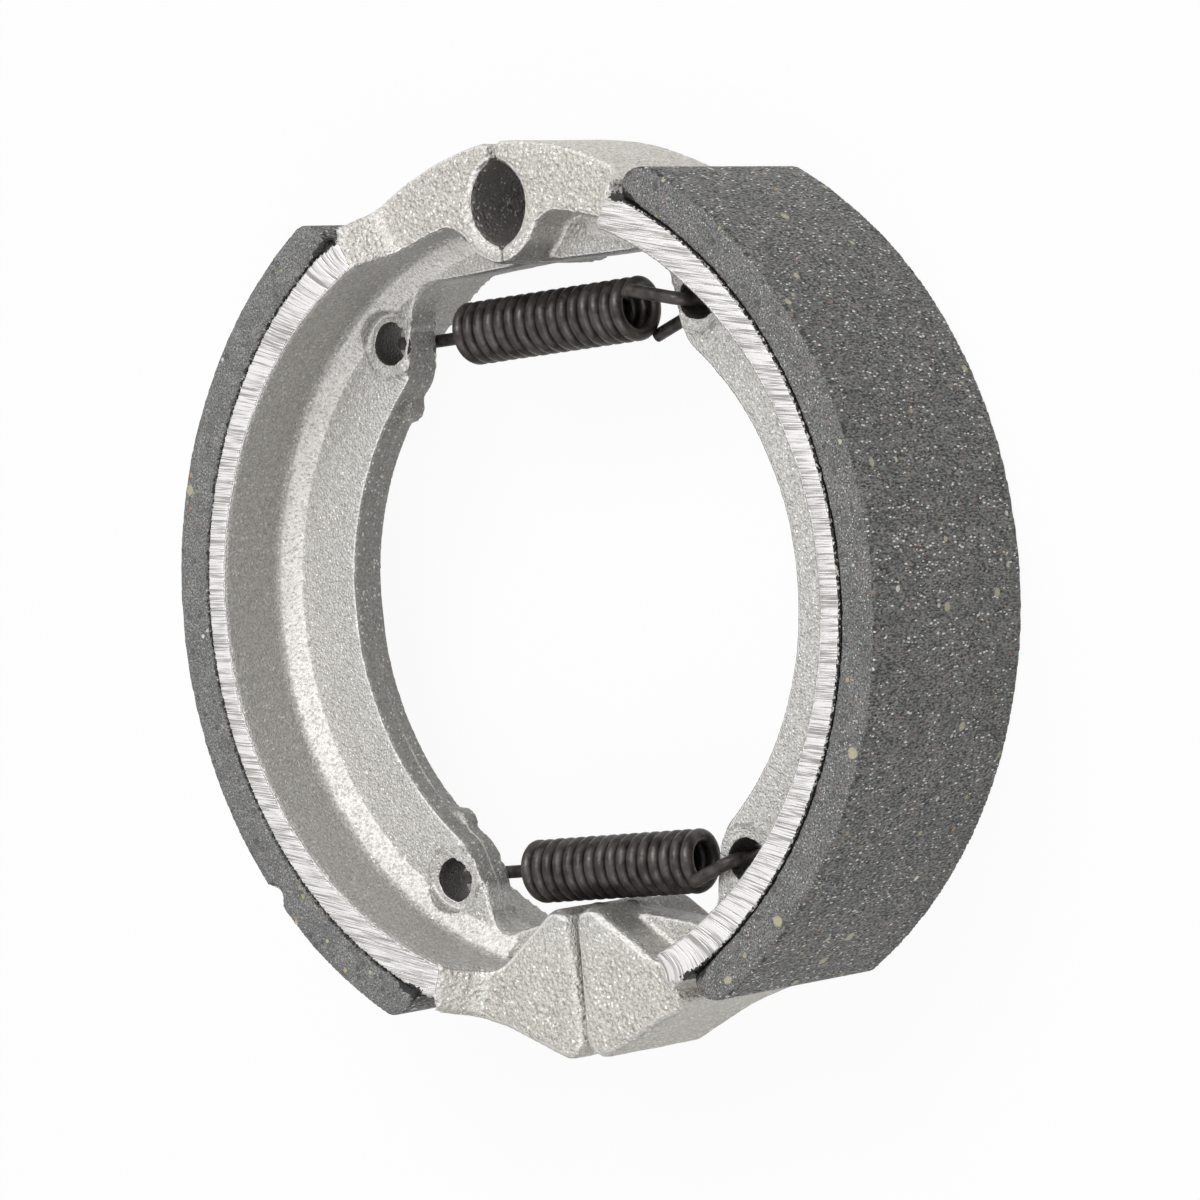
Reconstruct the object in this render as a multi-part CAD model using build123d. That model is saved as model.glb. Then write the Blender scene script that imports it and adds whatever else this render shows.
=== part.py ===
from build123d import *
from math import asin, atan2, cos, degrees, radians, sin, sqrt, tan
import os

# All lengths are in millimetres and all angles in degrees.
# A shoe is drawn where it sits inside its drum: drum axis on Z, shoe on the +X side,
# anchor pin toward +Y, cam toward -Y, rim edges at z = 0 and z = WIDTH.
# It is then moved to where the springs pull the pair once pin and cam are out.

# Drum, lining and rim
DRUM_RADIUS = 55.0
WIDTH = 28.0
LINING_THICKNESS = 4.8
LINING_ANCHOR_ANGLE = 62.4
LINING_CAM_ANGLE = 60.6
LINING_END_ROUND = 1.5
LINING_EDGE_BREAK = 0.35
RIM_THICKNESS = 2.9
RIM_INNER_SHIFT = 2.65
RIM_HALF_ANGLE = 64.2
RIM_EDGE_BEVEL = 0.7

# Web
WEB_THICKNESS = 5.0
WEB_FORWARD = 0.7
WEB_DEPTH = 14.2
WEB_ARC_HALF_ANGLE = 50.5
WEB_BEND_ROUND = 3.0
WEB_EDGE_ROUND = 0.5
WEB_SINK = 1.5
FOOT_RUN = 2.8
FOOT_RISE = 1.9
FOOT_SINK = 0.6
FOOT_ANCHOR_ANGLE = 80.0
FOOT_CAM_ANGLE = 70.0
LUG_RADIUS = 2.0
LUG_ANGLE = 43.2
LUG_PROUD = 1.0

# Anchor end
PIN_RADIUS = 5.0
PIN_INSET = 9.2
PIN_LIP = 1.3
PIN_WALL = 2.2
PIN_BEVEL = 0.8
ANCHOR_TOP_INSET = 1.9
ANCHOR_TOP_FLATTER = 14.5
ANCHOR_TOP_ROUND = 1.0
ANCHOR_NECK_ROUND = 4.0
ANCHOR_EDGE_ROUND = 0.5
ANCHOR_WEB_DROP = 7.0
ANCHOR_WEB_ANGLE = 62.0
ANCHOR_WEB_ROUND = 5.0

# Cam end
CAM_HALF = 4.0
CAM_OUTER_INSET = 3.0
PAD_LENGTH = 21.0
CAM_APEX_ROUND = 2.1
CAM_NECK_ROUND = 4.0
CAM_TIP_PROUD = 0.3
CAM_TIP_ROUND = 2.6
CAM_HEEL_ROUND = 9.0
CAM_EDGE_ROUND = 1.2
CAM_WEB_DROP = 2.1
CAM_CORNER_DEPTH = 8.1
CAM_CORNER_ANGLE = 62.6
CAM_BEND_DEPTH = 2.9
CAM_BEND_ANGLE = 57.0
CAM_WEB_ROUND = 3.4

# Both end blocks
BLOCK_WIDTH = 18.0
SHOULDER_ANGLE = 8.0
RAMP_RUN = 3.4
RAMP_FOOT_ROUND = 3.0

# Spring holes
ANCHOR_HOLE_DEPTH = 5.1
ANCHOR_HOLE_ANGLE = 52.5
CAM_HOLE_DEPTH = 4.7
CAM_COIL_DIP = 1.08
HOLE_RADIUS = 2.2
SEAT_RADIUS = 3.8
SEAT_DEPTH = 0.4

# Springs
WIRE_RADIUS = 0.78
COIL_RADIUS = 3.0
COIL_GAP = 0.06
COIL_LEAN = 39.0
ANCHOR_COIL_ASIDE = 0.3
ANCHOR_COIL_TURNS = 16
CAM_COIL_ASIDE = 1.5
CAM_COIL_TURNS = 15
ELBOW_REACH = 1.4
HOOK_ROUND = 1.3
HOOK_CLEARANCE = 0.06
TAIL_GAP = 1.5
TAIL_DROP = 2.0
TIP_SHORT = 0.6

# Fit and modelling allowances
REST_CLEARANCE = 0.05
OVERRUN = 5.0
NEAR = 0.01

RIM_OUTER = DRUM_RADIUS - LINING_THICKNESS
RIM_INNER = RIM_OUTER - RIM_THICKNESS - RIM_INNER_SHIFT
MIDDLE = WIDTH / 2
BLOCK_LOW = MIDDLE - BLOCK_WIDTH / 2
BLOCK_HIGH = MIDDLE + BLOCK_WIDTH / 2
WEB_MIDDLE = MIDDLE + WEB_FORWARD
WEB_LOW = WEB_MIDDLE - WEB_THICKNESS / 2
WEB_HIGH = WEB_MIDDLE + WEB_THICKNESS / 2
WEB_OUTER = RIM_OUTER - WEB_SINK
WEB_INNER_RADIUS = RIM_OUTER - WEB_DEPTH
PIN_HEIGHT = DRUM_RADIUS - PIN_INSET
PIN_CENTRE = (0, PIN_HEIGHT)
ANCHOR_TOP = DRUM_RADIUS - ANCHOR_TOP_INSET
ANCHOR_TOP_RADIUS = DRUM_RADIUS - ANCHOR_TOP_FLATTER
ANCHOR_WEB_EDGE = PIN_HEIGHT - ANCHOR_WEB_DROP
ANCHOR_WEB_REACH = ANCHOR_WEB_EDGE / tan(radians(ANCHOR_WEB_ANGLE))
CAM_OUTER = DRUM_RADIUS - CAM_OUTER_INSET
CAM_TIP = DRUM_RADIUS + CAM_TIP_PROUD
CAM_APEX = CAM_TIP - PAD_LENGTH
CAM_HOLE_HEIGHT = COIL_RADIUS + WIRE_RADIUS - CAM_COIL_DIP - CAM_APEX


def polar(radius, angle):
    """Point in the plane at a radius and an angle from +X."""
    return (radius * cos(radians(angle)), radius * sin(radians(angle)))


# The wedge of the cam end runs from its pad to a heel and a neck on the end of the rim.
CAM_HEEL = polar(CAM_OUTER, -RIM_HALF_ANGLE - SHOULDER_ANGLE)
CAM_NECK = polar(RIM_OUTER - RIM_THICKNESS, -RIM_HALF_ANGLE - SHOULDER_ANGLE / 2)

# At rest the lower lips of the anchor end touch, and so do the outer ends of the cam pads.
LIP_CONTACT = PIN_HEIGHT - PIN_RADIUS - PIN_WALL
CAM_TIP_RISE = atan2(CAM_TIP + CAM_HEEL[1], CAM_HEEL[0] - CAM_HALF)
PAD_CONTACT = CAM_TIP - CAM_TIP_ROUND / tan((radians(90) - CAM_TIP_RISE) / 2)
REST_TURN = degrees(asin((CAM_HALF - PIN_LIP) / (LIP_CONTACT + PAD_CONTACT)))
REST_SHIFT = PIN_LIP * cos(radians(REST_TURN)) + LIP_CONTACT * sin(radians(REST_TURN))


def sector(radius, low, high):
    """Pie slice of a disc between two angles."""
    start = polar(radius, low)
    end = polar(radius, high)
    arc = ThreePointArc(start, polar(radius, (low + high) / 2), end)
    return make_face([Line((0, 0), start), arc, Line(end, (0, 0))])


def spring_holes():
    """Centres of the two spring holes in the web, at the anchor end and at the cam end."""
    anchor_hole = polar(WEB_INNER_RADIUS + ANCHOR_HOLE_DEPTH, ANCHOR_HOLE_ANGLE)
    across = sqrt((WEB_INNER_RADIUS + CAM_HOLE_DEPTH) ** 2 - CAM_HOLE_HEIGHT**2)
    return anchor_hole, (across, CAM_HOLE_HEIGHT)


def slab(face, low, high):
    """A flat outline given thickness between two heights."""
    return Pos(0, 0, low) * extrude(face, high - low)


def corners(face, *spots):
    """Vertices of an outline nearest to the given points."""
    return [face.vertices().sort_by_distance((*spot, 0))[0] for spot in spots]


def right_of(x):
    """Everything to the right of a line across the drum."""
    return Pos(x + DRUM_RADIUS, 0) * Rectangle(2 * DRUM_RADIUS, 4 * DRUM_RADIUS)


def rim_hollow():
    """Inner surface of the rim, struck from a centre nearer to the rim than the drum's."""
    return Pos(RIM_INNER_SHIFT, 0) * Circle(RIM_INNER)


def rim():
    """Rim the lining is bonded to: a ring part that thickens toward both ends."""
    body = slab(sector(RIM_OUTER, -RIM_HALF_ANGLE, RIM_HALF_ANGLE) - rim_hollow(), 0, WIDTH)
    arcs = body.edges().filter_by(GeomType.CIRCLE)
    return chamfer(arcs.filter_by(lambda e: abs(e.radius - RIM_OUTER) < NEAR), RIM_EDGE_BEVEL)


def web_outline():
    """Outline of the web plate, from the anchor lips round to the cam pad."""
    lip = (PIN_LIP, ANCHOR_WEB_EDGE)
    bend = (ANCHOR_WEB_REACH, ANCHOR_WEB_EDGE)
    arc_top = polar(WEB_INNER_RADIUS, WEB_ARC_HALF_ANGLE)
    arc_low = polar(WEB_INNER_RADIUS, -WEB_ARC_HALF_ANGLE)
    cam_bend = polar(WEB_INNER_RADIUS + CAM_BEND_DEPTH, -CAM_BEND_ANGLE)
    cam_corner = polar(WEB_INNER_RADIUS + CAM_CORNER_DEPTH, -CAM_CORNER_ANGLE)
    pad = (CAM_HALF, -CAM_APEX - CAM_WEB_DROP)
    pad_out = (CAM_HALF, -sqrt(WEB_OUTER**2 - CAM_HALF**2))
    lip_out = (PIN_LIP, sqrt(WEB_OUTER**2 - PIN_LIP**2))
    edges = [
        Line(lip, bend),
        Line(bend, arc_top),
        ThreePointArc(arc_top, (WEB_INNER_RADIUS, 0), arc_low),
        Line(arc_low, cam_bend),
        Line(cam_bend, cam_corner),
        Line(cam_corner, pad),
        Line(pad, pad_out),
        ThreePointArc(pad_out, (WEB_OUTER, 0), lip_out),
        Line(lip_out, lip),
    ]
    face = make_face(edges)
    face = fillet(corners(face, bend), ANCHOR_WEB_ROUND)
    face = fillet(corners(face, cam_corner), CAM_WEB_ROUND)
    return fillet(corners(face, arc_top, arc_low, cam_bend), WEB_BEND_ROUND)


def on_opening(edge):
    """True for an edge of the web plate that faces the middle of the ring."""
    spot = edge @ 0.5
    buried = abs(spot.X - CAM_HALF) < NEAR or abs(spot.X - PIN_LIP) < NEAR
    return not buried and sqrt(spot.X**2 + spot.Y**2) < WEB_OUTER - NEAR


def web():
    """Web plate with its sloped foot along the rim and two small lugs on its inner edge."""
    plate = slab(web_outline(), WEB_LOW, WEB_HIGH)
    level = plate.edges().filter_by(lambda e: abs((e % 0.5).Z) < NEAR)
    plate = fillet(level.filter_by(on_opening), WEB_EDGE_ROUND)
    foot = Plane.XZ * Polygon(
        (RIM_INNER + FOOT_SINK, WEB_LOW - FOOT_RISE),
        (RIM_INNER, WEB_LOW - FOOT_RISE),
        (RIM_INNER - FOOT_RUN, WEB_LOW),
        (RIM_INNER - FOOT_RUN, WEB_HIGH),
        (RIM_INNER, WEB_HIGH + FOOT_RISE),
        (RIM_INNER + FOOT_SINK, WEB_HIGH + FOOT_RISE),
        align=None,
    )
    ring = revolve(Rot(0, 0, -FOOT_CAM_ANGLE) * foot, Axis.Z, FOOT_CAM_ANGLE + FOOT_ANCHOR_ANGLE)
    plate += Pos(RIM_INNER_SHIFT, 0, 0) * ring
    for angle in (-LUG_ANGLE, LUG_ANGLE):
        centre = polar(WEB_INNER_RADIUS + LUG_RADIUS - LUG_PROUD, angle)
        plate += Pos(*centre) * slab(Circle(LUG_RADIUS), WEB_LOW, WEB_MIDDLE)
    return plate


def anchor_outline():
    """Outline of the anchor block: an end of the rim with a boss round half the pin."""
    top = Pos(0, ANCHOR_TOP - ANCHOR_TOP_RADIUS) * Circle(ANCHOR_TOP_RADIUS)
    band = sector(2 * DRUM_RADIUS, RIM_HALF_ANGLE, 90) - rim_hollow()
    boss = Pos(*PIN_CENTRE) * Circle(PIN_RADIUS + PIN_WALL)
    face = (band + boss) & right_of(PIN_LIP) & top
    neck = (PIN_RADIUS + PIN_WALL, PIN_HEIGHT)
    face = fillet(corners(face, neck), ANCHOR_NECK_ROUND)
    face = fillet(corners(face, (PIN_LIP, ANCHOR_TOP)), ANCHOR_TOP_ROUND)
    return face - Pos(*PIN_CENTRE) * Circle(PIN_RADIUS)


def cam_outline():
    """Outline of the cam block: a wedge that ends in the flat pad the cam pushes on."""
    apex = (CAM_HALF, -CAM_APEX)
    tip = (CAM_HALF, -CAM_TIP)
    wedge = Polygon(apex, tip, CAM_HEEL, CAM_NECK, align=None)
    band = (sector(CAM_OUTER, -90, -RIM_HALF_ANGLE) - rim_hollow()) & right_of(CAM_HALF)
    face = wedge + band
    face = fillet(corners(face, CAM_NECK), CAM_NECK_ROUND)
    face = fillet(corners(face, CAM_HEEL), CAM_HEEL_ROUND)
    face = fillet(corners(face, apex), CAM_APEX_ROUND)
    return fillet(corners(face, tip), CAM_TIP_ROUND)


def recess(side):
    """What is taken off the front of an end block so that it is narrower than the rim."""
    across = Vector(*polar(side, side * RIM_HALF_ANGLE + 90))
    profile = Polygon(
        (0, WIDTH),
        (RAMP_RUN, BLOCK_HIGH),
        (DRUM_RADIUS, BLOCK_HIGH),
        (DRUM_RADIUS, WIDTH + OVERRUN),
        (0, WIDTH + OVERRUN),
        align=None,
    )
    profile = fillet(corners(profile, (RAMP_RUN, BLOCK_HIGH)), RAMP_FOOT_ROUND)
    plane = Plane((0, 0, 0), x_dir=across, z_dir=across.cross(Vector(0, 0, 1)))
    return extrude(plane * profile, 2 * DRUM_RADIUS, both=True)


def end_block(outline, side):
    """An end block at full width, sloped down at front and back to its own width."""
    front = recess(side)
    body = slab(outline, 0, WIDTH) - front
    return body - mirror(front, Plane.XY.offset(MIDDLE))


def face_edges(block, keep):
    """Edges round the front and back faces of a block, of which keep is true."""
    level = block.edges().filter_by(lambda e: abs((e % 0.5).Z) < NEAR)
    faces = level.filter_by(lambda e: min(abs((e @ 0.5).Z - BLOCK_LOW), abs((e @ 0.5).Z - BLOCK_HIGH)) < NEAR)
    return faces.filter_by(keep)


def anchor_block():
    """The block at the anchor end, with edges broken except where it meets pin and partner."""

    def keep(edge):
        spot = edge @ 0.5
        on_pin = abs(sqrt(spot.X**2 + (spot.Y - PIN_HEIGHT) ** 2) - PIN_RADIUS) < NEAR
        return not on_pin and abs(spot.X - PIN_LIP) > NEAR

    block = end_block(anchor_outline(), 1)
    block = fillet(face_edges(block, keep), ANCHOR_EDGE_ROUND)
    bevel = Cone(PIN_RADIUS, PIN_RADIUS + PIN_BEVEL, PIN_BEVEL, align=(Align.CENTER, Align.CENTER, Align.MAX))
    front = Pos(*PIN_CENTRE, BLOCK_HIGH) * bevel
    return block - front - mirror(front, Plane.XY.offset(MIDDLE))


def cam_block():
    """The block at the cam end, with well rounded edges round its front and back faces."""
    block = end_block(cam_outline(), -1)
    return fillet(face_edges(block, lambda edge: True), CAM_EDGE_ROUND)


def shoe():
    """One cast shoe in its place inside the drum."""
    body = rim() + web() + anchor_block() + cam_block()
    body -= Pos(*PIN_CENTRE) * slab(Circle(PIN_RADIUS), -OVERRUN, WIDTH + OVERRUN)
    seat = slab(Circle(SEAT_RADIUS), WEB_HIGH - SEAT_DEPTH, WEB_HIGH + FOOT_RISE)
    for hole in spring_holes():
        body -= Pos(*hole) * slab(Circle(HOLE_RADIUS), 0, WIDTH)
        body -= Pos(*hole) * seat
        body -= Pos(*hole) * mirror(seat, Plane.XY.offset(WEB_MIDDLE))
    return body


def lining():
    """Friction lining bonded to the outside of the rim, its end corners rounded off."""
    face = sector(DRUM_RADIUS, -LINING_CAM_ANGLE, LINING_ANCHOR_ANGLE) - Circle(RIM_OUTER)
    ends = [polar(DRUM_RADIUS, -LINING_CAM_ANGLE), polar(DRUM_RADIUS, LINING_ANCHOR_ANGLE)]
    body = slab(fillet(corners(face, *ends), LINING_END_ROUND), 0, WIDTH)
    level = body.edges().filter_by(lambda e: abs((e % 0.5).Z) < NEAR)
    outer = level.filter_by(lambda e: sqrt((e @ 0.5).X ** 2 + (e @ 0.5).Y ** 2) > DRUM_RADIUS - LINING_END_ROUND)
    return chamfer(outer, LINING_EDGE_BREAK)


def released(shape):
    """The shape moved from its place in the drum to where the springs pull it."""
    return Pos(REST_CLEARANCE - REST_SHIFT, 0, 0) * Rot(0, 0, -REST_TURN) * shape


def spring(hole, aside, whole_turns, side):
    """Return spring between the same hole of both shoes, with its front hook on the right."""
    centre = released(Pos(*hole)).position
    bite = HOLE_RADIUS - WIRE_RADIUS - HOOK_CLEARANCE
    bore_x = centre.X - bite
    pitch = 2 * WIRE_RADIUS + COIL_GAP
    turns = whole_turns + (180 + side * COIL_LEAN) / 360
    length = pitch * turns
    front = WEB_HIGH + WIRE_RADIUS + HOOK_CLEARANCE
    back = WEB_LOW - WIRE_RADIUS - HOOK_CLEARANCE
    start = Plane((aside - length / 2, centre.Y, WEB_MIDDLE), x_dir=(0, 0, -1), z_dir=(1, 0, 0))
    coil = start * Helix(pitch, length, COIL_RADIUS)
    out = coil @ 1
    elbow = Vector(out.X + ELBOW_REACH, out.Y, front)
    over = Vector(bore_x, centre.Y, front)
    through = Vector(bore_x, centre.Y, back)
    tail = Vector(out.X + TAIL_GAP, centre.Y + side * TAIL_DROP, back)
    hook = FilletPolyline(elbow, over, through, tail, radius=HOOK_ROUND)
    bend = Spline(out, elbow, tangents=[coil % 1, hook % 0])
    root = coil @ 0
    near = Vector(root.X - ELBOW_REACH, root.Y, back)
    under = Vector(-bore_x, centre.Y, back)
    tip = Vector(-bore_x, centre.Y, WEB_HIGH - TIP_SHORT)
    claw = FilletPolyline(tip, under, near, radius=HOOK_ROUND)
    lead = Spline(near, root, tangents=[claw % 1, coil % 0])
    path = Wire([*claw.edges(), *lead.edges(), *coil.edges(), *bend.edges(), *hook.edges()])
    profile = Plane(path @ 0, z_dir=path % 0) * Circle(WIRE_RADIUS)
    return sweep(profile, path)


os.makedirs("parts", exist_ok=True)
cast = released(shoe())
pad = released(lining())
export_step(cast, "parts/right_shoe.step")
export_step(mirror(cast, Plane.YZ), "parts/left_shoe.step")
export_step(pad, "parts/right_lining.step")
export_step(mirror(pad, Plane.YZ), "parts/left_lining.step")
anchor_end, cam_end = spring_holes()
export_step(spring(anchor_end, ANCHOR_COIL_ASIDE, ANCHOR_COIL_TURNS, -1), "parts/anchor_spring.step")
export_step(spring(cam_end, CAM_COIL_ASIDE, CAM_COIL_TURNS, 1), "parts/cam_spring.step")
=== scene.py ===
"""Looks of a drum brake shoe pair: blasted castings, bonded linings and wound return springs."""

from math import atan2, cos, pi, radians, sin

import bmesh
import bpy
from mathutils import Matrix, Vector, noise


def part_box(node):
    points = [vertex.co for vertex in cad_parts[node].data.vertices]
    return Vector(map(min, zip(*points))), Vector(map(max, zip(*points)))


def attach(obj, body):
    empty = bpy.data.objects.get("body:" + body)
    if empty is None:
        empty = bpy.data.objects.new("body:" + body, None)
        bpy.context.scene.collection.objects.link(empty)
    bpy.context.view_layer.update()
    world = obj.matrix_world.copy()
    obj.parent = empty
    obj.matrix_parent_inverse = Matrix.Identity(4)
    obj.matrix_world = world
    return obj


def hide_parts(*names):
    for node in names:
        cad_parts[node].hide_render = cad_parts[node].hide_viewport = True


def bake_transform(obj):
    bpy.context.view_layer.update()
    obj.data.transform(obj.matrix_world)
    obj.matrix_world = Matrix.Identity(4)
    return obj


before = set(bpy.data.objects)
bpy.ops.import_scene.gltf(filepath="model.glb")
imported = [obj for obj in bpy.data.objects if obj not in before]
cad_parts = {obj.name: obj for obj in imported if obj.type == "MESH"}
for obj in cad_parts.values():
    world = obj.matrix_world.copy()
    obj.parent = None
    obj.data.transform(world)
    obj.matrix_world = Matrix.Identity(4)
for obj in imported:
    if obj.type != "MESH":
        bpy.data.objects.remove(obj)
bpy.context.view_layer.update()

MM = 0.001

# Places that the castings share, with angles in degrees
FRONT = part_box("left_shoe")[1].z
DRUM_RADIUS = 55.0 * MM
RIM_OUTER = 50.2 * MM
RIM_HALF_ANGLE = 63.4
WEB_INNER = 36.0 * MM
WEB_MIDDLE = 14.7 * MM
WEB_HALF = 2.5 * MM
ARC_SHIFT = 2.41 * MM
SHOE_TURN = 1.72

# Mould's parting line on the web's inner edge
PARTING_WIDTH = 0.45 * MM
PARTING_HEIGHT = 0.22 * MM
PARTING_REACH = 1.2 * MM
PARTING_WAVE = 5.0 * MM

# Rim edges, which the belt has ground right up to the bond
RIM_BEVEL = 0.7 * MM
BEVEL_REACH = 2.2 * MM
BEVEL_LEFT = 0.06 * MM
BEVEL_OVERLAP = 0.6 * MM

# Spring holes and the lumpy ridge round each
SPRING_HOLES = (Vector((23.58, 31.84)) * MM, Vector((22.28, -32.36)) * MM)
HOLE_RADIUS = 2.2 * MM
HOLE_OPENED = 0.45 * MM
SEAT_RADIUS = 3.8 * MM
BOSS_HEIGHT = 0.60 * MM
BOSS_STEP = 0.5 * MM
BOSS_LUMP = 1.6 * MM

# Cast skin
SKIN_VOXEL = 0.42 * MM
SKIN_GRAIN = 1.1 * MM
SKIN_GRAIN_HEIGHT = 0.055 * MM
SKIN_SWELL = 9.0 * MM
SKIN_SWELL_HEIGHT = 0.16 * MM
SKIN_GROUND_SHARE = 0.08
GROUND_BAND = 0.14 * MM

# Linings, with angles in degrees
LINING_ANCHOR_ANGLE = 62.4
LINING_CAM_ANGLE = 60.6
LINING_VOXEL = 0.42 * MM
LINING_GRAIN = 0.9 * MM
LINING_GRAIN_HEIGHT = 0.12 * MM
LINING_SWELL = 12.0 * MM
LINING_SWELL_HEIGHT = 0.12 * MM
LINING_GROUND_SHARE = 0.7
LINING_END_ROUND = 3.8 * MM

# Groove at the bond, and the wedge of glue at a lining's ends
GROOVE_REACH = 1.5 * MM
GLUE_DEPTH = 0.40 * MM
GLUE_SPREAD = 0.30 * MM
GLUE_LEAST = 0.1 * MM
GLUE_WEDGE = 1.3 * MM
GLUE_WEDGE_ANGLE = 7.0
RAGGED_SIZE = 1.6 * MM

# Piece broken off the left lining
CHIP_CENTRE = Vector((-42.2, -32.6, 28.0)) * MM
CHIP_RADIUS = 1.8 * MM
CHIP_DEPTH = 0.8 * MM
CHIP_GRAIN = 0.7 * MM

# Springs, with the coil's lean in degrees
WIRE_RADIUS = 0.78 * MM
WIRE_SIDES = 18
WIRE_WAVER = 0.035 * MM
WIRE_UNEVEN_SIZE = 1.5 * MM
WIRE_UNEVEN_SHARE = 0.06
COIL_RADIUS = 3.0 * MM
COIL_PITCH = 1.62 * MM
COIL_LEAN = 39.0
ELBOW_REACH = 1.4 * MM
HOOK_ROUND = 1.3 * MM
LEG_HEIGHT = 3.34 * MM
TIP_SHORT = 0.6 * MM
POINTS_PER_TURN = 40
SPRINGS = {
    "anchor_spring": {
        "aside": 0.3 * MM, "turns": 16, "tail_gap": -1.0 * MM, "tail_drop": 3.25 * MM, "side": -1,
    },
    "cam_spring": {
        "aside": 1.5 * MM, "turns": 15, "tail_gap": 1.5 * MM, "tail_drop": 2.0 * MM, "side": 1,
    },
}

# Materials count in millimetres, and this is half the shoe's width
HALF_WIDTH = FRONT / MM / 2

# Ground edges: radius of the strip's middle, and how the belt marks lean
STRIP_RADIUS = 48.5
STRIP_REACH = 45.0
MARK_LEAN = 0.09
MARK_LEAN_AT_ENDS = 0.36
MARKS_PER_MM = 6.5
MARK_STRETCH = 0.22

# Where the castings' colour changes
PIN_AXIS = (0.0, 45.8, 0.0)
PIN_BORE = 5.4
END_BLOCKS = (38.0, 44.0)
WEB_EDGE_END = 33.0
WEB_EDGE_HEIGHT = -7.0
NUB_HEIGHT = -14.4
WALL_SHADE_RADII = (39.0, 42.0)
PARTING_PALE_HALF = (0.08, 0.2)
PARTING_PALE_DROP = 20.0
GROUND_DEPTH = 0.04
GROUND_RAGGED = 0.10
HOLE_MARGIN = 0.35
# Width of the painted shadow line at the step of a spring seat
SEAT_SHADOW_LINE = 0.02
SEAT_SHADOW_TORN = 0.40

# Glue on the castings: its line at the bond, its depth in from the edge, and how far past the lining it goes
RIM_GLUE_LINE = 0.03
RIM_GLUE_TORN = 0.26
RIM_GLUE_AT_ENDS = 0.40
RIM_GLUE_DEPTH = 1.4
RIM_GLUE_DEPTH_AT_ENDS = 5.0
RIM_GLUE_ENDS = (-2.0, 0.0)
RIM_GLUE_PAST = 0.8
RIM_GLUE_PAST_TORN = 0.5

# How far a face has to be turned up, down or inwards, from 0 to 1, for each of the castings' colours
LEVEL_FACE = (0.86, 0.95)
TILTED_FROM = (0.50, 0.62)
TILTED_TO = (0.88, 0.95)
BORE_FACE = 0.6
HOLE_FACE = 0.8
SEAT_FACE = 0.2
WEB_EDGE_FACE = 0.5
UNDER_FACE = (0.35, 0.65)
INWARD_FACE = (-0.70, -0.56)
RAMP_INWARD = -0.25

# Where the linings' colour changes
CUT_FACE_LEVEL = (0.70, 0.90)
CORNER_LEVEL = (0.80, 0.95)
CORNER_START = 1.3
CORNER_FULL = 0.5
# Painted light and shade: the ground front faces are lighter on the left lining than on the right, changing
# over this distance across the middle
SIDE_LIGHT_CHANGE = 10.0
CHIP_PALE_RADIUS = 1.5
LINING_GLUE_LINE = 0.02
LINING_GLUE_TORN = 0.36
LINING_GLUE_DEPTH = 1.6
LINING_GLUE_ENDS = (-5.0, 0.0)
DRAWN = (1.0, 1.0, 0.42)

# Depth of each finish's fine relief, in metres
CAST_RELIEF = 0.34 * MM
LINING_RELIEF = 0.30 * MM
WIRE_RELIEF = 0.02 * MM

# Colours of the castings
CAST_HOLLOW = (0.43, 0.42, 0.395, 1)
CAST_CREST = (0.72, 0.705, 0.675, 1)
CAST_PALE = (0.80, 0.79, 0.77, 1)
CAST_WARM = (1.0, 0.965, 0.90, 1)
# Painted highlight: tilted borders and chamfers of the end blocks are painted lighter
CAST_END_RIM_HIGHLIGHT = (0.92, 0.90, 0.86, 1)
# Painted highlight: the foot ramps are painted lighter, standing in for the light that falls on them
CAST_RAMP_HIGHLIGHT = (0.98, 0.955, 0.92, 1)
CAST_DARK_GRAIN = (0.24, 0.23, 0.21, 1)
# Painted shade on the undersides of the end blocks
CAST_UNDERSIDE_SHADE = (0.30, 0.285, 0.26, 1)
# Painted highlight: near-white glints scattered on the castings
CAST_PAINTED_GLINT = (0.95, 0.94, 0.91, 1)
# Walls that face inwards: darker partly for their duller finish and partly as painted shade, and WALL_SHADE
# is painted shade towards the web's inner edge
WALL_HOLLOW = (0.33, 0.32, 0.30, 1)
WALL_CREST = (0.56, 0.545, 0.515, 1)
WALL_SHADE = (0.60, 0.60, 0.60, 1)
WHITE = (1, 1, 1, 1)
# Painted shade inside the deep pin bore
BORE_SHADE = (0.16, 0.15, 0.138, 1)
PARTING_PALE = (0.80, 0.79, 0.76, 1)
# Painted shadow along the step of a spring seat's boss
SEAT_STEP_SHADOW = (0.17, 0.16, 0.145, 1)
# Painted shade inside the spring holes
HOLE_SHADE = (0.055, 0.050, 0.046, 1)
BELT_MARK = (0.34, 0.325, 0.31, 1)
BELT_BRIGHT = (0.86, 0.84, 0.83, 1)
GLUE_ON_CASTING = (0.012, 0.011, 0.010, 1)

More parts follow.
